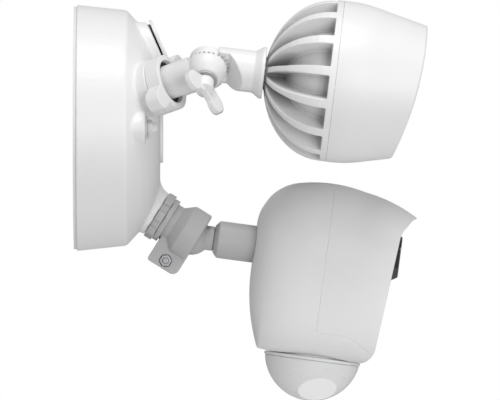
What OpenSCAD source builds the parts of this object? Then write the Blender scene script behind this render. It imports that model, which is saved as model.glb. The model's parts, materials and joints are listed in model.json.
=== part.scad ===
// Wall floodlight camera: a round wiring canopy, two swivelling arms with finned lamp heads,
// and a camera with a motion-sensor dome, hung on a clamped ball joint.
// Millimetres, +Z up. The object faces -Y. The origin is the centre of its back face, on the wall.

/* [Canopy] */
// Radius of the canopy at the wall
canopy_r = 63.5; // [62.5:0.5:64.5]
// Distance from the wall to the flat front of the canopy
canopy_depth = 44.4; // [43.8:0.2:45]
// Wall thickness of the canopy
canopy_wall = 2.4; // [2:0.2:2.8]
// Distance from the centre to each cap nut
stud_x = 50; // [49:0.5:51]
// Distance between the two box screw holes
box_screw_spacing = 88.9; // [84:0.1:92]

/* [Lamp arms] */
// Sideways distance from the centre plane to the foot of an arm
arm_x = 42; // [41:0.5:44]
// Angle that an arm rises above level
arm_rise = 18.2; // [16:0.2:20]
// Angle that an arm turns outwards
arm_splay = 25.4; // [24:0.2:27]
// Radius of the arm tube
arm_r = 8.8; // [8.4:0.1:9]
// Distance from the foot of an arm to its hinge
arm_reach = 28.9; // [28:0.1:32]

/* [Lamp heads] */
// Angle that a lamp points below level
lamp_pitch = 6.8; // [4:0.2:10]
// Largest radius of a lamp head
lamp_r = 41.3; // [40.6:0.1:41.5]
// Length of the finned back of a lamp head
fin_depth = 33.3; // [32:0.1:34]
// Number of cooling fins on a lamp head
fin_count = 15; // [12:1:15]
// Thickness of a cooling fin near the pole
fin_t = 2.8; // [2.4:0.1:3]
// Thickness of a cooling fin at the rim, where it spreads
fin_rim_t = 5; // [4:0.2:5.4]

/* [Camera] */
// Angle that the camera points below level
camera_pitch = 7.6; // [4:0.2:10]
// Angle that the camera's mount points below level
mount_pitch = 32; // [31:0.5:34]
// Radius of the ball
ball_r = 9.8; // [9.6:0.1:9.8]
// Width of the camera housing
camera_w = 70; // [69:1:72]
// Radius of the motion-sensor dome
dome_r = 24.8; // [24.4:0.1:25]

/* [Hidden] */
$fn = 64;
SIDES = ["left", "right"];
LAMP_NODES = ["arm", "arm_seal", "arm_clip", "wing_ring", "wing_screw", "hub_washer", "lamp_bracket",
    "heat_sink", "lamp_shroud", "led_board", "reflector", "lamp_lens", "lens_gasket"];

white = [0.92, 0.92, 0.92];
grey = [0.75, 0.75, 0.76];
steel = [0.7, 0.7, 0.72];
black = [0.06, 0.06, 0.07];
board_green = [0.1, 0.35, 0.2];
running = 0.07;     // radial clearance of parts that turn in each other
face_gap = 0.1;     // clearance between flat faces that slide past each other
eps = 0.01;

// The arm's direction, and where its hinge and its lamp are, for the left arm
arm_dir = [-sin(arm_splay) * cos(arm_rise), -cos(arm_splay) * cos(arm_rise), sin(arm_rise)];
arm_foot = [-arm_x, -43.9, 21.3];
lamp_up = [0, -sin(lamp_pitch), cos(lamp_pitch)];
lamp_dir = [0, -cos(lamp_pitch), -sin(lamp_pitch)];
hinge_roll = atan2(arm_dir * lamp_up, -arm_dir.x) - 180;
hinge_dir = [sin(hinge_roll), 0, 0] + cos(hinge_roll) * lamp_up;
hub = arm_foot + arm_reach * arm_dir;
split_z = -2;                       // the hinge's split plane, along the hinge axis from the hub centre
seam_reach = 62.7;                  // from the hinge to the seam between fins and shroud
lamp_seam = hub + split_z * hinge_dir + seam_reach * lamp_dir;
ball_center = [0, -60.7, -55.7];

// Centre of the circle through three points
function circle_center(a, b, c) = let(
    d = 2 * (a.x * (b.y - c.y) + b.x * (c.y - a.y) + c.x * (a.y - b.y)),
    aa = a * a,
    bb = b * b,
    cc = c * c)
    [(aa * (b.y - c.y) + bb * (c.y - a.y) + cc * (a.y - b.y)) / d,
     (aa * (c.x - b.x) + bb * (a.x - c.x) + cc * (b.x - a.x)) / d];

// Points along the circular arc from a to c that passes through b
function arc(a, b, c, steps = 6) = let(
    o = circle_center(a, b, c),
    r = norm(a - o),
    start = atan2(a.y - o.y, a.x - o.x),
    end = atan2(c.y - o.y, c.x - o.x),
    turn = (b.x - a.x) * (c.y - b.y) - (b.y - a.y) * (c.x - b.x) > 0 ? 1 : -1,
    sweep = turn * ((turn * (end - start) + 720) % 360))
    [for (i = [0:steps]) o + r * [cos(start + sweep * i / steps), sin(start + sweep * i / steps)]];

function reversed(list) = [for (i = [len(list) - 1:-1:0]) list[i]];

// Quarter ellipse from the pole at [0, -depth] to the rim at [radius, 0]
function bowl(radius, depth, steps = 14) =
    [for (i = [0:steps]) [radius * sin(90 * i / steps), -depth * cos(90 * i / steps)]];

module ring(outer, inner, from, to) translate([0, 0, from]) difference() {
    cylinder(h = to - from, r = outer);
    translate([0, 0, -1]) cylinder(h = to - from + 2, r = inner);
}
module rod(r, from, to) translate([0, 0, from]) cylinder(h = to - from, r = r);
module hexagon(across_flats, from, to) translate([0, 0, from])
    rotate(30) cylinder(h = to - from, r = across_flats / sqrt(3), $fn = 6);

// Flat rounded rectangle between two corners
module rounded(low, high, r) {
    translate([low.x + r, low.y]) square([high.x - low.x - 2 * r, high.y - low.y]);
    translate([low.x, low.y + r]) square([high.x - low.x, high.y - low.y - 2 * r]);
    for (x = [low.x + r, high.x - r], y = [low.y + r, high.y - r]) translate([x, y]) circle(r);
}

// Frames. In each, +Z is the axis that the frame is named for and +Y is upwards or nearly so.
module forwards() rotate([90, 0, 0]) children();
module on_side(side) mirror([side == "right" ? 1 : 0, 0, 0]) children();
module arm_frame(side) on_side(side)
    translate(arm_foot) rotate([90 - arm_rise, 0, -arm_splay]) children();
// In the hinge frame, +Z is the hinge axis and -Y points to the lamp
module hinge_frame(side) on_side(side)
    translate(hub) rotate([lamp_pitch, 0, 0]) rotate([0, hinge_roll, 0]) children();
module lamp_frame(side) on_side(side) translate(lamp_seam) rotate([90 + lamp_pitch, 0, 0]) children();
module mount_frame() translate(ball_center) rotate([90 + mount_pitch, 0, 0]) children();
// In the camera's side frame, -Y is forwards and +Z up, from the ball's centre
module camera_side_frame() translate(ball_center) rotate([camera_pitch, 0, 0]) children();
module camera_frame() camera_side_frame() forwards() children();
// Extrudes an outline of [-forward, up] points sideways, centred
module sideways(width) rotate([90, 0, 90]) linear_extrude(width, center = true) children();

// ---- Canopy and what fastens it ----

gasket_t = 1.5;
bracket_t = 2;
cap_nut_seat = 37.2;
module wall_bracket() color(steel) forwards() difference() {
    linear_extrude(bracket_t) {
        rounded([-56, -9], [56, 9], 6);
        rounded([-9, -52], [9, 52], 6);
    }
    for (z = [-1, 1]) translate([0, z * box_screw_spacing / 2, -1]) cylinder(h = 4, r = 2.3);
}
module bracket_studs() color(steel) forwards() for (side = [-1, 1]) translate([side * stud_x, 0, 0]) {
    rod(1.95, bracket_t, 41);
    hexagon(7, bracket_t, 4.5);
}
module wall_gasket() color(black) forwards() ring(62.6, 58, 0, gasket_t);

// Radius and depth points of the canopy's surface, moved inwards by t
function canopy_line(t) = concat(
    [[0, canopy_depth - t]],
    arc([26 - t / 2, canopy_depth - t], [47 - t, 38.5 - t], [55.5 - t, 32 - t]),
    [[60.4 - t, 27.5 - t], [60.9 - t, 26 - t], [canopy_r - t, gasket_t]]);
// Depth and height points of the raised pad behind the front cover
pad_line = [[30, 54.4], [37.3, 54.4], [38.1, 53.2], [45.2, 36.9], [46.6, 30], [45.6, 19],
    [canopy_depth, 9], [40, -16], [30, -16]];
boss_r = 14.3;
boss_back = -16;
collar_r = 11.42;
collar_h = 4;
mount_boss_front = -21.3;
mount_boss_back = -34;
mount_boss_line = concat([[0, mount_boss_front], [12.2, mount_boss_front]],
    arc([12.2, mount_boss_front], [13.6, -26.4], [17.7, -30.2]),
    [[17.7, mount_boss_back], [0, mount_boss_back]]);
stub_r = 8;
module canopy() color(white) difference() {
    union() {
        forwards() rotate_extrude($fn = 128)
            polygon(concat(canopy_line(0), reversed(canopy_line(canopy_wall))));
        intersection() {
            sideways(50) polygon([for (p = pad_line) [-p.x, p.y]]);
            forwards() linear_extrude(60) rounded([-22, -16], [22, 54.4], 12);
        }
        for (side = SIDES) arm_frame(side) rod(boss_r, boss_back, 0);
        for (side = SIDES) arm_frame(side) rod(collar_r, -eps, collar_h);
        mount_frame() rotate_extrude() polygon(mount_boss_line);
        for (side = [-1, 1]) forwards() translate([side * stud_x, 0, 0]) rod(8, 30, cap_nut_seat);
        for (side = [-1, 1]) forwards() translate([side * 12, 30, 0]) rod(3, 26, 42);
    }
    for (side = SIDES) arm_frame(side) rod(arm_r + running, boss_back - 1, collar_h + 1);
    mount_frame() rod(stub_r + running, mount_boss_back - 1, mount_boss_front + 1);
    for (side = [-1, 1]) forwards() translate([side * stud_x, 0, 0]) {
        rod(2.3, 20, 40);
        rod(6.6, cap_nut_seat, 50);
    }
}

cover_line = [[38.4, 55.6], [40, 55.6], [48, 37.8], [49.4, 30], [48.2, 17], [45.9, 7], [45.9, -18],
    [44.4, -18], [44.4, 9.2], [45.9, 17.4], [47.9, 30], [46.5, 37.2]];
module front_cover() color(white) intersection() {
    sideways(50) polygon([for (p = cover_line) [-p.x, p.y]]);
    forwards() linear_extrude(60) rounded([-20, -18], [20, 55.6], 10);
}
// Foam strip in the gap between the raised pad and the front cover
cover_strip_line = [[38.25, 53.2], [45.35, 36.9], [46.45, 36.9], [39.35, 53.2]];
module cover_strip() color(black) sideways(34) polygon([for (p = cover_strip_line) [-p.x, p.y]]);
cap_nut_line = concat([[2, 38], [3.5, 38], [3.5, 40.6], [2.9, 40.6]],
    arc([2.9, 41.2], [2.2, 42.9], [0, 43.6]), [[0, 41.4], [2, 41.4]]);
module cap_nuts() color(steel) forwards() for (side = [-1, 1]) translate([side * stud_x, 0, 0]) {
    rotate_extrude() polygon(cap_nut_line);
    difference() {
        hexagon(7, 38, 40.6);
        rod(2, 37, 42);
    }
}
module cap_nut_washers() color(steel) forwards() for (side = [-1, 1]) translate([side * stud_x, 0, 0])
    ring(5.7, 2.2, cap_nut_seat, 38);
module power_module() color(black) forwards() translate([0, 0, 10])
    linear_extrude(16) rounded([-18, 14], [18, 44], 3);
module terminal_block() color(white) forwards() difference() {
    translate([0, 0, bracket_t]) linear_extrude(11) rounded([-12, -38], [12, -24], 1.5);
    for (x = [-7, 0, 7]) translate([x, -31, 6]) cylinder(h = 10, r = 2.4);
}

// ---- Lamp arms ----

hub_r = 10.3;
hub_top = 8;
screw_r = 3.04;
screw_bore = screw_r + running - 0.01;
tooth_count = 24;
// Radial grooves that leave a ring of locking teeth, cut down from z = 0
module tooth_grooves() for (i = [0:tooth_count - 1])
    rotate(i * 360 / tooth_count) translate([6.6, -0.65, -0.8]) cube([5, 1.3, 0.8 + eps]);

module arm(side) color(white) difference() {
    union() {
        arm_frame(side) rod(arm_r, -17.6, arm_reach);
        intersection() {
            hinge_frame(side) sphere(hub_r);
            hinge_frame(side) rod(hub_r + 1, split_z + 0.3, hub_top);
        }
    }
    hinge_frame(side) rod(9.9, -14, split_z + 0.3);
    arm_frame(side) rod(5, -18, 12);
    hinge_frame(side) rod(screw_bore, split_z - 1, hub_top + 1);
    hinge_frame(side) translate([0, 0, hub_top]) cylinder(h = 5, r = 9);
    hinge_frame(side) translate([0, 0, split_z + 0.3]) mirror([0, 0, 1]) tooth_grooves();
}
module arm_seal(side) color(black) arm_frame(side) ring(11.2, arm_r + 0.02, collar_h + 0.3, collar_h + 1.4);
module arm_clip(side) color(steel) arm_frame(side) ring(12, arm_r + 0.02, -17.4, boss_back - 0.2);

wing_ring_h = 7.7;
wing_angle = 30;    // angle of the ring's two lobes from level
module wing_ring(side) color(white) arm_frame(side) translate([0, 0, 0.15]) difference() {
    union() {
        cylinder(h = wing_ring_h, r = 14.3);
        linear_extrude(wing_ring_h) rotate(wing_angle) for (end = [-1, 1]) {
            translate([end * 18.6, 0]) circle(5.3);
            translate([end * 12.6, 0]) square([12, 10.6], center = true);
        }
    }
    translate([0, 0, -1]) cylinder(h = wing_ring_h + 2, r = collar_r + running);
}

wing_screw_angle = 220;     // direction of the screw's wings round the hinge axis
module wing_screw(side) color(white) hinge_frame(side) {
    rod(screw_r, -6.6, 9.6);
    rod(4.6, 9.25, 16);
    rotate([90, 0, wing_screw_angle]) translate([0, 0, -1.6]) linear_extrude(3.2) {
        for (end = [-1, 1]) translate([end * 9.6, 17.4]) circle(5.3);
        polygon([[-4, 9.8], [4, 9.8], [12.2, 12.8], [10, 22], [0, 17.5], [-10, 22], [-12.2, 12.8]]);
    }
}
module hub_washer(side) color(grey) hinge_frame(side) ring(6.2, screw_r + 0.1, hub_top, 9.2);

neck_line = [[0, 5], [10.4, 5], [10.4, 24.2], [13, 28], [13, 29.6], [0, 29.6]];
// Forward and hinge-axis points of the neck, which is cut away on a slant where the arm's hub turns
web_line = [[0, -7], [0, split_z], [10.7, split_z], [19.2, 9], [19.2, 12], [40, 12], [40, -16], [11, -16]];
module lamp_bracket(side) color(white) hinge_frame(side) difference() {
    union() {
        rod(9.4, -7, split_z);
        intersection() {
            translate([0, 0, split_z]) forwards() rotate_extrude() polygon(neck_line);
            sideways(30) flip_forward(web_line);
        }
    }
    rod(screw_bore, -8, 0);
    translate([0, 0, split_z]) tooth_grooves();
}

// ---- Lamp heads ----

pole = seam_reach - 29.6;   // from the seam back to the bracket's mounting disc
seam_z = 3.5;               // the seam with the shroud, in front of the ends of the slots
fin_pitch = 360 / fin_count;
slot_root = fin_t / 2 / sin(fin_pitch / 2);     // where two neighbouring fins meet
slot_turn = 29;     // radius from which the fins spread
slot_reach = 60;
slot_turn_half = (slot_turn - slot_root) * tan(fin_pitch / 2);
slot_half = lamp_r * tan(fin_pitch / 2) - fin_rim_t / 2 / cos(fin_pitch / 2);
slot_side = [[slot_turn, slot_turn_half], [lamp_r, slot_half], [slot_reach, slot_half]];
// The back of the lamp: a half ellipsoid, cut flat at the pole
back_line = concat([[0, seam_z], [0, -pole], [4.5, -pole]],
    [for (p = bowl(lamp_r, fin_depth)) if (p.y > -pole) p], [[lamp_r + 0.05, seam_z]]);
module heat_sink(side) color(white) lamp_frame(side) difference() {
    union() {
        difference() {
            rotate_extrude() polygon(back_line);
            difference() {
                for (i = [0:fin_count - 1]) rotate((i + 0.5) * fin_pitch - 90)
                    translate([0, 0, -40]) linear_extrude(40)
                    polygon(concat([[slot_root, 0]], [for (p = slot_side) [p.x, -p.y]], reversed(slot_side)));
                rotate_extrude() polygon(concat([[0, 10]], bowl(32, 23.5), [[32, 10]]));
            }
        }
        rod(8, -pole, -18);
    }
    rotate_extrude() polygon(concat([[0, 10]], bowl(28.5, 16), [[28.5, 10]]));
}

shroud_wall = 2.4;
rim_arch_r = 178;       // radius of the concave-looking front edge, seen from the side
function shroud_line() = concat(arc([lamp_r + 0.05, seam_z], [41.3, 9], [40.1, 19]), [[33, 49]]);
lip_front = 35;
module lamp_shroud(side) color(white) lamp_frame(side) intersection() {
    rotate_extrude($fn = 96) polygon(concat(shroud_line(),
        [[33 - shroud_wall, 49], [33.9, lip_front], [32.4, lip_front], [32.4, 33.5], [34.2, 33.5]],
        reversed([for (p = shroud_line()) if (p.y < 30) [p.x - shroud_wall, p.y]])));
    translate([0, 24, -130.6]) rotate([0, 90, 0]) cylinder(h = 120, r = rim_arch_r, center = true, $fn = 128);
}
module led_board(side) color(board_green) lamp_frame(side) {
    rod(35.5, seam_z, 5.1);
    translate([-6, -6, 5.1]) cube([12, 12, 1.2]);
}
module reflector(side) color(steel) lamp_frame(side) rotate_extrude() polygon([[13, 5.1], [14, 5.1],
    [32.6, 28.9], [33.9, 28.9], [33.9, 30], [31.8, 30], [13, 6.1]]);
module lens_gasket(side) color(black) lamp_frame(side) ring(33.9, 32, 30, 31);
module lamp_lens(side) color(white, 0.6) lamp_frame(side) rod(33.9, 31, 33.5);

// ---- Camera mount ----

collar_back = -16.9;
nut_lugs = 8;
module lock_nut() color(grey) mount_frame() difference() {
    ring(13, stub_r + 0.3, mount_boss_front + face_gap, collar_back - face_gap);
    for (i = [0:nut_lugs - 1]) rotate((i + 0.5) * 360 / nut_lugs)
        translate([12, -2.15, mount_boss_front]) cube([4, 4.3, 6]);
}
liner_outer = 11.8;
clamp_front = 3.9;
clamp_line = [[0, -37.5], [stub_r, -37.5], [stub_r, collar_back], [11.9, collar_back], [11.9, -14],
    [10.2, -14], [10.2, -10.6], [14.2, -5.6], [14.2, clamp_front - 0.8],
    [13.4, clamp_front], [0, clamp_front]];
// Across and axial points of the clamp's two ears
ear_line = concat([[-5, -13.3]], arc([-20.9, -13.3], [-21.96, -12.86], [-22.4, -11.8]),
    arc([-22.4, 0.3], [-21.35, 2.85], [-18.8, clamp_front]), [[-5, clamp_front]]);
bolt_place = [0, -18, -4.7];
module across_bolt() translate(bolt_place) rotate([0, -90, 0]) children();
module ball_clamp() color(grey) mount_frame() difference() {
    union() {
        rotate_extrude() polygon(clamp_line);
        rotate([90, 0, 90]) linear_extrude(13, center = true) polygon(ear_line);
    }
    sphere(liner_outer + 0.05);
    rod(4, -40, 0);
    translate([-1.2, -24, -14]) cube([2.4, 18.5, 20]);
    across_bolt() rod(1.6, -10, 10);
    across_bolt() hexagon(5.7, 4.9, 8);
}
module neck_clip() color(steel) mount_frame() ring(11, stub_r + 0.02, -36, mount_boss_back - 0.2);
module clamp_bolt() color(steel) mount_frame() across_bolt() {
    rod(1.5, -6.5, 8.2);
    difference() {
        rod(2.75, -9.5, -6.5);
        hexagon(2.5, -10, -8);
    }
}
module clamp_nut() color(steel) mount_frame() across_bolt() difference() {
    hexagon(5.5, 4.9, 7.3);
    rod(1.52, 4, 8);
}
module socket_liner() color(black) mount_frame() difference() {
    intersection() {
        sphere(liner_outer);
        rod(20, -7, clamp_front);
    }
    sphere(ball_r + running);
}

// ---- Camera ----

stud_r = 5.5;
sleeve_r = 9.6;
module ball_stud() color(grey) camera_frame() difference() {
    union() {
        sphere(ball_r);
        rod(6.3, 0, 11.6);
        rod(stud_r, 11, 38.5);
    }
    rod(2.8, -12, 40);
}
module stud_clip() color(steel) camera_frame() ring(8, stud_r + 0.02, 36.8, 37.8);
sleeve_line = [[stud_r + running, 11.7], [7, 11.7], [sleeve_r, 14], [sleeve_r, 36.6],
    [stud_r + running, 36.6]];
module stem_sleeve() color(grey) camera_frame() rotate_extrude() polygon(sleeve_line);

// Forward and up points of the camera's side outline, from the ball's centre
camera_outline = concat(
    arc([40.9, -52.7], [35.3, -36], [32.6, -11.8]),
    arc([32.6, 10.1], [38.4, 26.4], [49.8, 34]),
    arc([49.8, 34], [65, 36.3], [86.2, 34.1]),
    arc([86.2, 34.1], [101, 30.5], [114.3, 24.3]),
    [[112, 22.9], [107.7, 16.5], [106.7, 13.4]],
    arc([101.5, -44.2], [99.6, -50.2], [95.2, -53.6]),
    [[46.9, -53.4]]);
// What of that lies in the front half: the seam drops at seam_f and runs forwards above the skirt
seam_f = 70;
seam_gap = 0.2;
function front_region(gap) = [[seam_f + gap, 60], [seam_f + gap, -41 + gap], [84.8, -41 + gap],
    [90.8, -42.8 + gap], [97.2, -47 + gap], [110, -56 + gap], [140, -56 + gap], [140, 60]];
camera_middle = [72, -9];   // forward and up place that the hollow is scaled about
hollow_scale = 0.93;
module flip_forward(points) polygon([for (p = points) [-p.x, p.y]]);
module camera_solid() intersection() {
    sideways(camera_w + 2) flip_forward(camera_outline);
    translate([0, 0, -60]) linear_extrude(110) {
        rounded([-camera_w / 2, -116], [camera_w / 2, -60], 12);
        translate([-camera_w / 2, -80]) square([camera_w, 20]);
        intersection() {
            translate([0, -62.6]) circle(camera_w / 2, $fn = 96);
            translate([-50, -65]) square([100, 50]);
        }
    }
    forwards() linear_extrude(120) {
        translate([0, 36.2 - camera_w / 2]) circle(camera_w / 2, $fn = 96);
        rounded([-camera_w / 2, -54], [camera_w / 2, 36.2 - camera_w / 2 + 12], 12);
    }
}
module camera_hollow() translate([0, -camera_middle.x, camera_middle.y]) scale(hollow_scale)
    translate([0, camera_middle.x, -camera_middle.y]) camera_solid();
screw_spots = [[0, 22], [0, -34]];
module at_screws() for (spot = screw_spots) forwards() translate(spot) children();
dome_center = [70, -51.6];
module dome_frame() camera_side_frame() translate([0, -dome_center.x, dome_center.y]) children();

module rear_housing() color(white) camera_side_frame() difference() {
    union() {
        difference() {
            camera_solid();
            camera_hollow();
        }
        intersection() {
            camera_solid();
            at_screws() rod(4.8, 30, seam_f);
        }
    }
    sideways(80) flip_forward(front_region(0));
    at_screws() rod(3.3, 20, 60);
    at_screws() rod(1.6, 20, 80);
    forwards() rod(sleeve_r + 0.05, 20, 45);
    translate([0, -dome_center.x, -60]) cylinder(h = 12, r = 22);
}
// The main board's posts: across, up, and how far forwards each goes
board_posts = [[-20, -25, 103], [20, -25, 103], [-21.6, 15.4, 106.6], [21.6, 15.4, 106.6]];
board_front = 85.6;
panel_low = [-23, -9];
panel_high = [23, 13.9];
module front_housing() color(white) camera_side_frame() difference() {
    union() {
        difference() {
            camera_solid();
            camera_hollow();
        }
        intersection() {
            camera_solid();
            union() {
                at_screws() rod(4.8, seam_f + seam_gap, 106);
                for (post = board_posts)
                    forwards() translate([post.x, post.y, 0]) rod(2.6, board_front, post.z);
            }
        }
    }
    difference() {
        translate([-60, -200, -100]) cube([120, 200, 200]);
        sideways(130) flip_forward(front_region(seam_gap));
    }
    at_screws() rod(1.55, 60, 78);
    forwards() translate([0, 0, 98]) linear_extrude(12)
        rounded(panel_low - [0.1, 0.1], panel_high + [0.1, 0.1], 7);
    for (row = [-1:1]) forwards() translate([0, speaker_up + 4 * row, 95]) linear_extrude(15)
        rounded([-8, -0.8], [8, 0.8], 0.75);
}
speaker_up = -18;
lens_place = [0, 3.4];
led_spots = [for (side = [-1, 1], row = [-1:1]) [side * 16, 3.4 + 6 * row]];
module lens_panel() color(black) camera_side_frame() intersection() {
    sideways(60) flip_forward([[103.2, 13.9], [107.9, 13.9], [107.9, -7.2], [105.1, -9], [103.2, -9]]);
    forwards() linear_extrude(120) difference() {
        rounded(panel_low, panel_high, 7);
        translate(lens_place) circle(8.6);
        for (spot = led_spots) translate(spot) circle(1.9);
    }
}
module lens_barrel() color(black) camera_frame() translate(lens_place) {
    ring(8.5, 6, board_front, 106.6);
    ring(8.5, 7, 106.6, 107.9);
}
module lens_glass() color([0.1, 0.1, 0.14]) camera_frame() translate(lens_place)
    rotate_extrude() polygon(concat([[0, 102], [5.95, 102], [5.95, 104.6]],
        arc([5.95, 105], [3.2, 106.6], [0, 107.2])));
module ir_leds() color([0.25, 0.05, 0.06]) camera_frame()
    for (spot = led_spots) translate(spot) rod(1.85, 103.2, 107.6);
module main_board() color(board_green) camera_frame() translate([0, 0, 84]) linear_extrude(board_front - 84)
    rounded([-24, -29], [24, 17], 3);
module speaker() color(black) camera_frame() translate([0, speaker_up, 0]) {
    rod(6, board_front, 89);
    ring(9, 2.5, 89, 95);
}
module pir_board() color(board_green) dome_frame() ring(20.5, 1.6, 2.5, 4.1);
module pir_sensors() color(steel) dome_frame() for (turn = [-90, 30, 150])
    rotate(turn) translate([10, 0, 0]) rod(4.6, -3.6, 2.5);
module pir_ring() color(white) dome_frame() {
    ring(24.9, 19.8, -3.6, -2.02);
    ring(21.9, 19.8, -2.1, 2.5);
}
// The dome has a flat window towards each side
dome_wall = 3.6;
facet_reach = 22.6;
facet_tilts = [[-12, 35, 0], [-12, -35, 0]];
module pir_dome() color([0.9, 0.9, 0.88]) dome_frame() difference() {
    intersection() {
        sphere(dome_r, $fn = 96);
        rod(30, -40, -3.7);
    }
    sphere(dome_r - dome_wall);
    for (tilt = facet_tilts) rotate(tilt) rod(12, -40, -facet_reach);
}
module housing_screws() color(steel) camera_side_frame() at_screws() {
    rod(1.5, 60, 77);
    rod(2.9, 57.8, 60);
}

wall_bracket();
bracket_studs();
wall_gasket();
canopy();
front_cover();
cover_strip();
cap_nuts();
cap_nut_washers();
power_module();
terminal_block();
lock_nut();
ball_clamp();
neck_clip();
clamp_bolt();
clamp_nut();
socket_liner();
ball_stud();
stud_clip();
stem_sleeve();
rear_housing();
front_housing();
lens_panel();
lens_barrel();
lens_glass();
ir_leds();
main_board();
speaker();
pir_board();
pir_sensors();
pir_ring();
pir_dome();
housing_screws();
for (side = SIDES) {
    arm(side);
    arm_seal(side);
    arm_clip(side);
    wing_ring(side);
    wing_screw(side);
    hub_washer(side);
    lamp_bracket(side);
    heat_sink(side);
    lamp_shroud(side);
    led_board(side);
    reflector(side);
    lamp_lens(side);
    lens_gasket(side);
}
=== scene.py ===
"""Floodlight security camera: the looks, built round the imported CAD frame.

Metres; the object faces -Y and +Z is up.
"""

import json
import math

import bmesh
import bpy
from mathutils import Matrix, Vector


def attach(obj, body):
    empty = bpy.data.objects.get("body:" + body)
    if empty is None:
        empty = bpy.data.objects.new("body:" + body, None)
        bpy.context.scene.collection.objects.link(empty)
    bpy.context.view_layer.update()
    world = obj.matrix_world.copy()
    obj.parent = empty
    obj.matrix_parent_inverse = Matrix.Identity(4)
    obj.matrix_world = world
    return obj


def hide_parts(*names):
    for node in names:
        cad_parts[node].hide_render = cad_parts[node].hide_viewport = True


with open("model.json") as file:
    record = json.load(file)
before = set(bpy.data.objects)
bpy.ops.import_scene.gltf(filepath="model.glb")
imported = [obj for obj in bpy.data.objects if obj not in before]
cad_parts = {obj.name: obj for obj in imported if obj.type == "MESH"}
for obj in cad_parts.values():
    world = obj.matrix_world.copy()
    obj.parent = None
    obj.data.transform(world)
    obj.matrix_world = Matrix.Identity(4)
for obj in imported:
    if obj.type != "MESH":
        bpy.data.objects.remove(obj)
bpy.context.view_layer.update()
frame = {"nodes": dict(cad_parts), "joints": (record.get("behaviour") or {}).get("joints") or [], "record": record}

MM = 0.001
KEPT_FACES = 0.3            # the share of a softened mesh's faces that is kept
SIDES = ("left", "right")
JOINTS = {j["name"]: j for j in frame["joints"]}


# ---- Meshes ----------------------------------------------------------------------------------------

def object_from(name, mesh):
    piece = bpy.data.objects.new(name, mesh)
    bpy.context.scene.collection.objects.link(piece)
    return piece


def mesh_from(name, points, faces):
    mesh = bpy.data.meshes.new(name)
    mesh.from_pydata([tuple(p) for p in points], [], faces)
    weld(mesh)
    return mesh


def weld(mesh, distance=2e-6):
    """Joins vertices that lie on each other and turns every face outwards."""
    work = bmesh.new()
    work.from_mesh(mesh)
    bmesh.ops.remove_doubles(work, verts=work.verts, dist=distance)
    bmesh.ops.dissolve_degenerate(work, edges=work.edges, dist=1e-7)
    bmesh.ops.recalc_face_normals(work, faces=work.faces)
    work.to_mesh(mesh)
    work.free()


def apply_modifiers(piece):
    """Leaves the piece's mesh as its modifiers make it."""
    graph = bpy.context.evaluated_depsgraph_get()
    graph.update()
    mesh = bpy.data.meshes.new_from_object(piece.evaluated_get(graph))
    piece.modifiers.clear()
    piece.data = mesh


def soften(piece, voxel, rounds, keep):
    """Rounds every edge, as a mould or a casting does.

    The mesh is remeshed, smoothed, and thinned out to a share of its faces.
    """
    remesh = piece.modifiers.new("remesh", "REMESH")
    remesh.mode = "VOXEL"
    remesh.voxel_size = voxel * 1
    remesh.use_smooth_shade = True
    smooth = piece.modifiers.new("smooth", "SMOOTH")
    smooth.factor = 0.5
    smooth.iterations = rounds
    thin = piece.modifiers.new("thin", "DECIMATE")
    thin.ratio = keep
    apply_modifiers(piece)
    piece.data.polygons.foreach_set("use_smooth", [True] * len(piece.data.polygons))
    return piece


def combine(piece, cutter, operation):
    """Cuts piece by cutter, or keeps only what both hold, and removes the cutter."""
    boolean = piece.modifiers.new("cut", "BOOLEAN")
    boolean.operation = operation
    boolean.solver = "EXACT"
    boolean.object = cutter
    apply_modifiers(piece)
    bpy.data.objects.remove(cutter)
    return piece


def circle_center(a, b, c):
    d = 2 * (a[0] * (b[1] - c[1]) + b[0] * (c[1] - a[1]) + c[0] * (a[1] - b[1]))
    aa, bb, cc = (p[0] ** 2 + p[1] ** 2 for p in (a, b, c))
    return ((aa * (b[1] - c[1]) + bb * (c[1] - a[1]) + cc * (a[1] - b[1])) / d,
            (aa * (c[0] - b[0]) + bb * (a[0] - c[0]) + cc * (b[0] - a[0])) / d)


def arc(a, b, c, steps=16):
    """Points along the circular arc from a to c that passes through b."""
    ox, oy = circle_center(a, b, c)
    radius = math.hypot(a[0] - ox, a[1] - oy)
    start = math.atan2(a[1] - oy, a[0] - ox)
    end = math.atan2(c[1] - oy, c[0] - ox)
    turn = 1 if (b[0] - a[0]) * (c[1] - b[1]) - (b[1] - a[1]) * (c[0] - b[0]) > 0 else -1
    sweep = turn * ((turn * (end - start)) % (2 * math.pi))
    angles = [start + sweep * i / steps for i in range(steps + 1)]
    return [(ox + radius * math.cos(angle), oy + radius * math.sin(angle)) for angle in angles]


def loft(name, rings, closed_ends=True):
    """A mesh through rings of points, each ring closed on itself."""
    count = len(rings[0])
    points = [p for ring in rings for p in ring]
    faces = []
    for r in range(len(rings) - 1):
        for i in range(count):
            j = (i + 1) % count
            faces.append((r * count + i, r * count + j, (r + 1) * count + j, (r + 1) * count + i))
    if closed_ends:
        faces.append(tuple(range(count)))
        faces.append(tuple((len(rings) - 1) * count + i for i in range(count)))
    return object_from(name, mesh_from(name, points, faces))


def lathe(name, line, place, turns):
    """Turns a line of (radius, along) points, in millimetres, round the Z axis of a frame."""
    rings = []
    for t in range(turns + 1):
        angle = 2 * math.pi * t / turns
        points = line(angle) if callable(line) else line
        across, up = math.cos(angle) * MM, math.sin(angle) * MM
        rings.append([place @ Vector((r * across, r * up, z * MM)) for r, z in points])
    return loft(name, rings, closed_ends=False)


# ---- Materials -------------------------------------------------------------------------------------

CORNER_REACH = 0.009        # how near another surface has to be to shade a slot or corner
CORNER_SHADE = 0.5          # the share of its colour that a surface keeps deep in a slot


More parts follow.
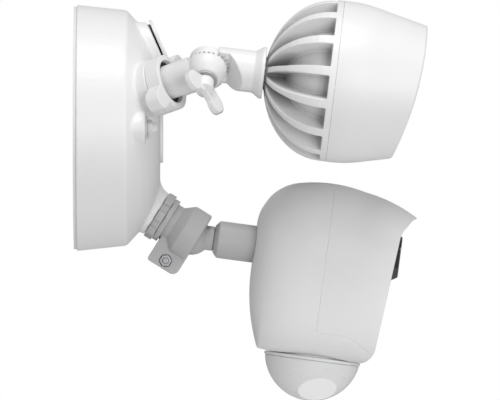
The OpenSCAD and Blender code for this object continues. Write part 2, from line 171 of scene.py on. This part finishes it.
class Surface:
    """A procedural material: a Principled shader, with its colour, roughness and bump worked out by nodes."""

    def __init__(self, name, color, roughness, **constants):
        self.material = bpy.data.materials.new(name)
        self.material.use_nodes = True
        self.nodes = self.material.node_tree.nodes
        self.links = self.material.node_tree.links
        self.shader = self.nodes["Principled BSDF"]
        self.color = color
        self.roughness = roughness
        for key, value in constants.items():
            self.shader.inputs[key.replace("_", " ")].default_value = value
        self.place = self.nodes.new("ShaderNodeTexCoord").outputs["Object"]

    def noise(self, scale, detail=3.0, stretch=None):
        node = self.nodes.new("ShaderNodeTexNoise")
        node.inputs["Scale"].default_value = scale
        node.inputs["Detail"].default_value = detail
        place = self.place
        if stretch:
            mapping = self.nodes.new("ShaderNodeMapping")
            mapping.inputs["Scale"].default_value = stretch
            self.links.new(place, mapping.inputs["Vector"])
            place = mapping.outputs["Vector"]
        self.links.new(place, node.inputs["Vector"])
        return node.outputs["Fac"]

    def spread(self, value, low, high):
        """Maps a 0 to 1 value to the range from low to high."""
        node = self.nodes.new("ShaderNodeMapRange")
        node.inputs["From Min"].default_value = 0.3
        node.inputs["From Max"].default_value = 0.7
        node.inputs["To Min"].default_value = low
        node.inputs["To Max"].default_value = high
        self.links.new(value, node.inputs["Value"])
        return node.outputs["Result"]

    def tint(self, value, amount, corners=1.0):
        """Colour that wanders by amount either side of the material's own.

        In deep corners it falls to a share of itself: painted-in shade, which the lights don't give.
        """
        ramp = self.nodes.new("ShaderNodeValToRGB")
        for stop, factor in zip(ramp.color_ramp.elements, (1 - amount, 1 + amount)):
            stop.color = [min(1, c * factor) for c in self.color] + [1]
        ramp.color_ramp.elements[0].position = 0.3
        ramp.color_ramp.elements[1].position = 0.7
        self.links.new(value, ramp.inputs["Fac"])
        color = ramp.outputs["Color"]
        if corners < 1:
            near = self.nodes.new("ShaderNodeAmbientOcclusion")
            near.inputs["Distance"].default_value = CORNER_REACH
            near.samples = 8
            shade = self.nodes.new("ShaderNodeMapRange")
            shade.inputs["From Min"].default_value = 0.25
            shade.inputs["From Max"].default_value = 0.85
            shade.inputs["To Min"].default_value = corners
            self.links.new(near.outputs["AO"], shade.inputs["Value"])
            shaded = self.nodes.new("ShaderNodeMixRGB")
            shaded.blend_type = "MULTIPLY"
            shaded.inputs["Fac"].default_value = 1.0
            self.links.new(color, shaded.inputs["Color1"])
            self.links.new(shade.outputs["Result"], shaded.inputs["Color2"])
            color = shaded.outputs["Color"]
        self.links.new(color, self.shader.inputs["Base Color"])

    def bump(self, value, height, strength=1.0):
        node = self.nodes.new("ShaderNodeBump")
        node.inputs["Distance"].default_value = height
        node.inputs["Strength"].default_value = strength
        self.links.new(value, node.inputs["Height"])
        self.links.new(node.outputs["Normal"], self.shader.inputs["Normal"])


def moulded_plastic(name, color, roughness, grain=0.00002, wander=0.015, corners=1.0, **constants):
    """Plastic with a fine spark-eroded grain and slow drifts of shade and gloss."""
    surface = Surface(name, color, roughness, **constants)
    surface.tint(surface.noise(18, 2), wander, corners)
    surface.links.new(surface.spread(surface.noise(45, 4), roughness - 0.04, roughness + 0.05),
                      surface.shader.inputs["Roughness"])
    surface.bump(surface.noise(1400, 2), grain, 0.35)
    return surface.material


def painted_casting(name, color, roughness):
    """Paint on a metal casting: a soft orange-peel under a satin coat."""
    surface = Surface(name, color, roughness, Coat_Weight=0.15, Coat_Roughness=0.3)
    surface.tint(surface.noise(22, 3), 0.02, CORNER_SHADE)
    surface.links.new(surface.spread(surface.noise(60, 4), roughness - 0.05, roughness + 0.06),
                      surface.shader.inputs["Roughness"])
    surface.bump(surface.noise(650, 3), 0.00003, 0.4)
    return surface.material


def brushed_metal(name, color, roughness, brush=(30, 30, 900)):
    surface = Surface(name, color, roughness, Metallic=1.0)
    surface.tint(surface.noise(8, 4, brush), 0.06)
    surface.links.new(surface.spread(surface.noise(10, 5, brush), roughness - 0.08, roughness + 0.1),
                      surface.shader.inputs["Roughness"])
    surface.bump(surface.noise(6, 4, brush), 0.00001, 0.3)
    return surface.material


def clear(name, color, roughness, transmission, ior=1.5):
    surface = Surface(name, color, roughness, Transmission_Weight=transmission, IOR=ior)
    surface.tint(surface.noise(30, 2), 0.01)
    surface.links.new(surface.spread(surface.noise(80, 3), max(0.02, roughness - 0.02), roughness + 0.03),
                      surface.shader.inputs["Roughness"])
    return surface.material


def circuit_board(name):
    """Solder-masked board with pads and tracks at the right scale."""
    surface = Surface(name, (0.02, 0.11, 0.05), 0.35)
    cells = surface.nodes.new("ShaderNodeTexVoronoi")
    cells.distance = "CHEBYCHEV"
    cells.inputs["Scale"].default_value = 260
    surface.links.new(surface.place, cells.inputs["Vector"])
    surface.tint(cells.outputs["Distance"], 0.45)
    surface.links.new(surface.spread(surface.noise(120, 3), 0.28, 0.45), surface.shader.inputs["Roughness"])
    surface.bump(cells.outputs["Distance"], 0.0001, 0.4)
    return surface.material


WHITE = (0.80, 0.80, 0.80)
MATERIALS = {
    "white_plastic": moulded_plastic("white_plastic", WHITE, 0.42),
    "grey_plastic": moulded_plastic("grey_plastic", (0.47, 0.47, 0.475), 0.45, corners=CORNER_SHADE),
    "painted_aluminium": painted_casting("painted_aluminium", WHITE, 0.42),
    "white_metal": painted_casting("white_metal", (0.74, 0.74, 0.74), 0.36),
    "steel": brushed_metal("steel", (0.42, 0.42, 0.43), 0.42),
    "white_foam": moulded_plastic("white_foam", (0.74, 0.74, 0.74), 0.8, 0.00006, 0.04),
    "black_rubber": moulded_plastic("black_rubber", (0.012, 0.012, 0.012), 0.75, 0.00004, 0.2),
    "black_plastic": moulded_plastic("black_plastic", (0.02, 0.02, 0.021), 0.5, 0.00003, 0.15),
    "gloss_black": moulded_plastic("gloss_black", (0.006, 0.006, 0.007), 0.1, 0.000002, 0.1,
                                   Coat_Weight=1.0, Coat_Roughness=0.03),
    "lens_glass": clear("lens_glass", (0.03, 0.03, 0.05), 0.03, 0.6, 1.6),
    "frosted_lens": clear("frosted_lens", (0.86, 0.86, 0.86), 0.45, 0.35),
    "bright_reflector": brushed_metal("bright_reflector", (0.85, 0.85, 0.85), 0.16, (40, 40, 40)),
    "circuit_board": circuit_board("circuit_board"),
    "infrared_window": clear("infrared_window", (0.08, 0.01, 0.015), 0.12, 0.3),
    "milky_dome": moulded_plastic("milky_dome", (0.80, 0.80, 0.80), 0.25, 0.00001, 0.01,
                                  Subsurface_Weight=0.12, Subsurface_Scale=0.003),
}
# The dome's real flat windows get a pure white, glossier copy of its plastic: a painted highlight on them.
DOME_WINDOW_HIGHLIGHT = moulded_plastic("dome_window_painted_highlight", (1.0, 1.0, 1.0), 0.2, 0.00001, 0.0)
SLOT_OF = {row["node"]: row["material_slot"] for row in frame["record"]["subparts"]}
BODY_OF = {node: body for body, nodes in frame["record"]["behaviour"]["bodies"].items() for node in nodes}


def finish_piece(piece, node):
    """Gives a new piece the place and the finish of the CAD node that it stands for."""
    slot = SLOT_OF[node]
    piece.data.materials.clear()
    piece.data.materials.append(MATERIALS[slot])
    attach(piece, BODY_OF[node])
    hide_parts(node)


# ---- Pieces that keep the CAD shape, with moulded edges ---------------------------------------------

def moulded(node, voxel, rounds):
    """The CAD node's own shape with soft edges; voxel is the finest detail it keeps, in millimetres."""
    piece = object_from(node + "_moulded", frame["nodes"][node].data.copy())
    weld(piece.data)
    soften(piece, voxel * MM, rounds, KEPT_FACES)
    finish_piece(piece, node)


MOULDED = {"canopy": (0.55, 6), "front_cover": (0.35, 3), "lock_nut": (0.25, 3), "ball_clamp": (0.3, 4),
           "stem_sleeve": (0.35, 3), "ball_stud": (0.35, 3), "pir_dome": (0.35, 2), "pir_ring": (0.25, 2),
           "cap_nuts": (0.18, 3), "cap_nut_washers": (0.15, 2), "clamp_nut": (0.12, 2),
           "clamp_bolt": (0.14, 2), "lens_panel": (0.25, 2)}
MOULDED_PER_SIDE = {"arm": (0.3, 4), "wing_ring": (0.28, 4), "wing_screw": (0.25, 4), "hub_washer": (0.2, 2),
                    "lamp_bracket": (0.3, 4), "heat_sink": (0.32, 2)}
for node, (voxel, rounds) in MOULDED.items():
    moulded(node, voxel, rounds)
for part, (voxel, rounds) in MOULDED_PER_SIDE.items():
    for side in SIDES:
        moulded(f"{part}_{side}", voxel, rounds)


def flat_directions(mesh, least):
    """Directions, other than straight ahead, of the mesh's flat faces that are larger than an area."""
    areas = {}
    for face in mesh.polygons:
        key = tuple(round(c, 2) for c in face.normal)
        areas[key] = areas.get(key, 0) + face.area
    return [Vector(key).normalized() for key, area in areas.items() if area > least and abs(key[0]) > 0.2]


WINDOW_AREA, WINDOW_ANGLE = 60e-6, math.radians(3)
dome = bpy.data.objects["pir_dome_moulded"]
highlight_windows = flat_directions(frame["nodes"]["pir_dome"].data, WINDOW_AREA)
# Faces that lie on the flat windows take the painted highlight.
dome.data.materials.append(DOME_WINDOW_HIGHLIGHT)
for face in dome.data.polygons:
    if any(face.normal.angle(direction) < WINDOW_ANGLE for direction in highlight_windows):
        face.material_index = 1


# ---- Lamp shrouds ----------------------------------------------------------------------------------

LAMP_PITCH = math.radians(6.8)
SEAM_REACH = 62.7                   # from the hinge forwards to the ends of the slots
SPLIT = -2.0                        # from the middle of the hinge to the lamp's axis, along the hinge
SEAM_Z = 3.5                        # the seam between heat sink and shroud
RIM_ARCH_R, RIM_ARCH_BACK, RIM_ARCH_UP = 178.0, 130.6, 24.0
SHROUD_WALL = 2.4
SHROUD_ARC = arc((41.35, SEAM_Z), (41.3, 9), (40.1, 19), 12)
SHROUD_FRONT = (33.0, 49.0)
RIM_ROUND = 1.1
LIP_R, LIP_FLOOR, LIP_TOP = 32.4, 33.5, 35.2     # the ledge inside the mouth that holds the lens


def lamp_place(side):
    """Frame of a lamp head: +Z forwards along its axis, +Y up, its origin at the ends of the slots."""
    joint = JOINTS[f"lamp_tilt_{side}"]
    hub = Vector(joint["pos_m"])
    hinge = Vector(joint["axis"]) * (1 if side == "left" else -1)
    forward = Vector((0, -math.cos(LAMP_PITCH), -math.sin(LAMP_PITCH)))
    origin = hub + SPLIT * MM * hinge + SEAM_REACH * MM * forward
    return Matrix.Translation(origin) @ Matrix.Rotation(math.pi / 2 + LAMP_PITCH, 4, "X")


def shroud_radius(z):
    """Outer radius of the shroud at a place along its axis."""
    for (r0, z0), (r1, z1) in zip(SHROUD_ARC, SHROUD_ARC[1:]):
        if z <= z1:
            return r0 + (r1 - r0) * (z - z0) / (z1 - z0)
    (r0, z0), (r1, z1) = SHROUD_ARC[-1], SHROUD_FRONT
    return r0 + (r1 - r0) * (z - z0) / (z1 - z0)


def rim_at(angle, inset=0.0):
    """Where the shroud ends at an angle round it: its front edge is an arch seen from the side."""
    z = 40.0
    for _ in range(8):
        up = (shroud_radius(z) - inset) * math.sin(angle)
        z = math.sqrt(RIM_ARCH_R ** 2 - (up - RIM_ARCH_UP) ** 2) - RIM_ARCH_BACK
    return z


def shroud_line(angle):
    """Closed outline of the shroud's wall at an angle round its axis: forwards outside, back inside."""
    rim = rim_at(angle) - RIM_ROUND
    stations = [SEAM_Z + (rim - SEAM_Z) * i / 24 for i in range(25)]
    outside = [(shroud_radius(z), z) for z in stations]
    middle = shroud_radius(rim) - SHROUD_WALL / 2
    turns = [math.pi * i / 8 for i in range(1, 8)]
    edge = [(middle + SHROUD_WALL / 2 * math.cos(turn), rim + RIM_ROUND * math.sin(turn)) for turn in turns]
    inner = [(shroud_radius(z) - SHROUD_WALL, z) for z in (rim, 0.5 * (rim + LIP_TOP), LIP_TOP)]
    lip = [(LIP_R + 0.2, LIP_TOP - 0.2), (LIP_R, LIP_TOP - 0.4), (LIP_R, LIP_FLOOR),
           (shroud_radius(LIP_FLOOR) - SHROUD_WALL, LIP_FLOOR)]
    back = [(shroud_radius(z) - SHROUD_WALL, z) for z in (28, 22, 16, 10, SEAM_Z)]
    return outside + edge + inner + lip + back


def shrouds():
    for side in SIDES:
        node = f"lamp_shroud_{side}"
        piece = lathe(node + "_skin", shroud_line, lamp_place(side), 120)
        weld(piece.data, 4e-6)
        piece.data.polygons.foreach_set("use_smooth", [True] * len(piece.data.polygons))
        piece.data.set_sharp_from_angle(angle=math.radians(50))
        finish_piece(piece, node)


shrouds()


# ---- Camera housings -------------------------------------------------------------------------------

BALL = Vector(JOINTS["camera_tilt"]["pos_m"])
STEM = Vector(JOINTS["camera_roll"]["axis"])
CAMERA_PITCH = math.atan2(-STEM.z, -STEM.y)
CAMERA_PLACE = Matrix.Translation(BALL) @ Matrix.Rotation(CAMERA_PITCH, 4, "X")
HALF_WIDTH = 35.0
BACK_F, WIDEST_F, LONG_F = 32.6, 63.0, 118.0     # the back, where full width starts, past the visor
MIDDLE_UP = 1.2                                  # where the arched top meets the straight sides
TOP = arc((BACK_F, 10.1), (38.4, 26.4), (49.8, 34)) + arc((49.8, 34), (65, 36.3), (86.2, 34.1))[1:] \
    + arc((86.2, 34.1), (101, 30.5), (114.3, 24.3))[1:] + [(LONG_F, 22.2)]
BOTTOM = arc((BACK_F, -11.8), (35.3, -36), (40.9, -52.7)) + [(46.9, -53.4), (LONG_F, -53.6)]
FRONT = [(20, 70), (120, 70), (116, 24.0), (114.3, 24.3), (112, 22.9), (107.7, 16.5), (106.7, 13.4)] \
    + arc((101.5, -44.2), (99.6, -50.2), (95.2, -53.6)) + [(95, -70), (20, -70)]
SEAM_F, SEAM_UP = 70, 80     # where the side seam stands, and a height above the whole camera
SEAM = [(SEAM_F, SEAM_UP), (SEAM_F, -41), (84.8, -41), (90.8, -42.8), (97.2, -47), (110, -56), (150, -56),
        (150, SEAM_UP)]
SEAM_PRESS = 0.16           # how far the halves press into each other, so that only their rounded edges show
HOUSING_VOXEL, HOUSING_KEPT_FACES = 0.36 * MM, 0.2
HOLLOW_SCALE, HOLLOW_MIDDLE = 0.93, Vector((0, -72 * MM, -9 * MM))


def height_at(line, f):
    """Height of an outline, as (forward, up) points, at a forward station."""
    for (f0, g0), (f1, g1) in zip(line, line[1:]):
        if f <= f1:
            return g0 + (g1 - g0) * max(0.0, f - f0) / (f1 - f0)
    return line[-1][1]


def half_width_at(f):
    """Half the housing's width: round at the back, then nearly straight."""
    if f >= WIDEST_F:
        return HALF_WIDTH - 0.8 * ((f - WIDEST_F) / (LONG_F - WIDEST_F)) ** 2
    reach = (WIDEST_F - f) / (WIDEST_F - BACK_F)
    return HALF_WIDTH * (1 - reach ** 2.3) ** (1 / 2.3)


def signed_power(value, power):
    return math.copysign(abs(value) ** power, value)


def housing_loft(name):
    """The closed outer shape of the camera, longer than the real front, with an arched top."""
    stations, around, squareness = 72, 112, 5.5
    rings = []
    for s in range(stations + 1):
        f = BACK_F + (LONG_F - BACK_F) * (s / stations) ** 2
        width, top, bottom = half_width_at(f), height_at(TOP, f), height_at(BOTTOM, f)
        ring = []
        for i in range(around):
            angle = 2 * math.pi * (i + 0.5) / around
            across, up = math.cos(angle), math.sin(angle)
            if up >= 0:
                x, g = signed_power(across, 0.92), MIDDLE_UP + (top - MIDDLE_UP) * up
            else:
                x = signed_power(across, 2 / squareness)
                g = MIDDLE_UP + (MIDDLE_UP - bottom) * signed_power(up, 2 / squareness)
            ring.append(Vector((x * width, -f, g)) * MM)
        rings.append(ring)
    return loft(name, rings)


def prism(name, outline, half_width=60):
    """A block with a side outline of (forward, up) points, all the way across."""
    points = [Vector((x, -f, g)) * MM for x in (-half_width, half_width) for f, g in outline]
    count = len(outline)
    faces = [tuple(range(count)), tuple(range(count, 2 * count))]
    faces += [(i, (i + 1) % count, count + (i + 1) % count, count + i) for i in range(count)]
    return object_from(name, mesh_from(name, points, faces))


def drum(name, radius, start, end, place):
    """A round cutter along Z in the frame that place gives, in millimetres."""
    return lathe(name, [(0, start), (radius, start), (radius, end), (0, end)], place, 64)


def slab(name, low, high, start, end, corner):
    """A cutter with a rounded outline in the camera's front view, from start to end forwards."""
    outline = []
    for cx, cz, turn in ((high[0] - corner, high[1] - corner, 0), (low[0] + corner, high[1] - corner, 1),
                         (low[0] + corner, low[1] + corner, 2), (high[0] - corner, low[1] + corner, 3)):
        for i in range(9):
            angle = math.pi / 2 * (turn + i / 8)
            outline.append((cx + corner * math.cos(angle), cz + corner * math.sin(angle)))
    return loft(name, [[Vector((x, -f, g)) * MM for x, g in outline] for f in (start, end)])


FORWARDS = Matrix.Rotation(math.pi / 2, 4, "X")      # turns +Z to -Y, forwards
DOME_F = 70.0                                    # how far forwards the motion dome's axis stands
STEM_HOLE_R, DOME_HOLE_R, SCREW_HOLE_R = 9.75, 22, 3.3
PANEL_LOW, PANEL_HIGH, PANEL_CORNER = (-23.15, -9.15), (23.15, 14.05), 7
SCREWS = ((0, 22), (0, -34))
SPEAKER_UP, SLOT_PITCH = -18, 4


def housings():
    skins = {}
    for half in ("rear", "front"):
        shell = housing_loft("shell")
        hollow = housing_loft("hollow")
        middle = Matrix.Translation(HOLLOW_MIDDLE)
        hollow.data.transform(middle @ Matrix.Scale(HOLLOW_SCALE, 4) @ middle.inverted())
        combine(shell, prism("front", FRONT), "INTERSECT")
        inner_front = prism("inner_front", FRONT)
        inner_front.data.transform(middle @ Matrix.Scale(HOLLOW_SCALE, 4) @ middle.inverted())
        combine(hollow, inner_front, "INTERSECT")
        combine(shell, hollow, "DIFFERENCE")
        if half == "rear":
            combine(shell, prism("seam", SEAM), "DIFFERENCE")
            combine(shell, drum("stem_hole", STEM_HOLE_R, 20, 45, FORWARDS), "DIFFERENCE")
            well = Matrix.Translation(Vector((0, -DOME_F, 0)) * MM)
            combine(shell, drum("dome_hole", DOME_HOLE_R, -62, -46, well), "DIFFERENCE")
            for x, g in SCREWS:
                spot = Matrix.Translation(Vector((x, 0, g)) * MM) @ FORWARDS
                combine(shell, drum("screw_hole", SCREW_HOLE_R, 20, 60, spot), "DIFFERENCE")
        else:
            pressed = [(f - SEAM_PRESS * (f == SEAM_F), g - SEAM_PRESS * (g < SEAM_UP)) for f, g in SEAM]
            seam = prism("seam", pressed)
            combine(shell, seam, "INTERSECT")
            combine(shell, slab("panel_recess", PANEL_LOW, PANEL_HIGH, 98, 112, PANEL_CORNER), "DIFFERENCE")
            for row in (-1, 0, 1):
                g = SPEAKER_UP + SLOT_PITCH * row
                combine(shell, slab("slot", (-8, g - 0.8), (8, g + 0.8), 95, 112, 0.79), "DIFFERENCE")
        shell.data.transform(CAMERA_PLACE)
        shell.name = half + "_housing_skin"
        soften(shell, HOUSING_VOXEL, 2, HOUSING_KEPT_FACES)
        skins[half] = shell
    for half, skin in skins.items():
        finish_piece(skin, half + "_housing")


housings()

# ---- CAD nodes that stay as they are ---------------------------------------------------------------

for node, piece in frame["nodes"].items():
    piece.data.materials.clear()
    piece.data.materials.append(MATERIALS[SLOT_OF[node]])

# ---- Stage, light and camera -----------------------------------------------------------------------

FLOOR_Z, FLOOR_REACH = -0.42, 3
floor_corners = [(x * FLOOR_REACH, y * FLOOR_REACH, FLOOR_Z) for x, y in ((-1, -1), (1, -1), (1, 1), (-1, 1))]
floor = object_from("floor", mesh_from("floor", floor_corners, [(0, 1, 2, 3)]))
floor_surface = Surface("pale_floor", (0.86, 0.86, 0.86), 0.8)
floor_surface.tint(floor_surface.noise(3, 3), 0.02)
floor.data.materials.append(floor_surface.material)


def backdrop_light(seen=1.0, ambient=0.36):
    """White all round for the eye, and a dimmer, even light for the object."""
    world = bpy.data.worlds.new("studio")
    bpy.context.scene.world = world
    world.use_nodes = True
    nodes, links = world.node_tree.nodes, world.node_tree.links
    background = nodes["Background"]
    path = nodes.new("ShaderNodeLightPath")
    amount = nodes.new("ShaderNodeMapRange")
    amount.inputs["To Min"].default_value = ambient
    amount.inputs["To Max"].default_value = seen
    links.new(path.outputs["Is Camera Ray"], amount.inputs["Value"])
    links.new(amount.outputs["Result"], background.inputs["Strength"])
    background.inputs["Color"].default_value = (1, 1, 1, 1)


def area_light(name, place, target, size, watts):
    light = bpy.data.lights.new(name, "AREA")
    light.shape = "DISK"
    light.size = size
    light.energy = watts
    lamp = bpy.data.objects.new(name, light)
    bpy.context.scene.collection.objects.link(lamp)
    lamp.location = place
    lamp.rotation_euler = (Vector(target) - Vector(place)).to_track_quat("-Z", "Y").to_euler()


CENTER = Vector((0, -0.0908, -0.0372))
backdrop_light()
area_light("overhead", (-0.7, -0.2, 1.5), CENTER, 0.9, 17)
area_light("side_fill", (-1.8, -0.8, 0.1), CENTER, 1.0, 11)

CAMERA_DISTANCE = 8.0
PICTURE_WIDTH = 0.258       # what the picture spans at the object, in metres
SENSOR = 36.0
lens = bpy.data.cameras.new("camera")
lens.sensor_width = SENSOR
lens.lens = SENSOR * CAMERA_DISTANCE / PICTURE_WIDTH
lens.clip_end = 100
viewer = bpy.data.objects.new("viewer", lens)
bpy.context.scene.collection.objects.link(viewer)
viewer.location = CENTER - Vector((CAMERA_DISTANCE, 0, 0))
viewer.rotation_euler = Vector((1, 0, 0)).to_track_quat("-Z", "Y").to_euler()
bpy.context.scene.camera = viewer
bpy.context.scene.view_settings.view_transform = "Standard"
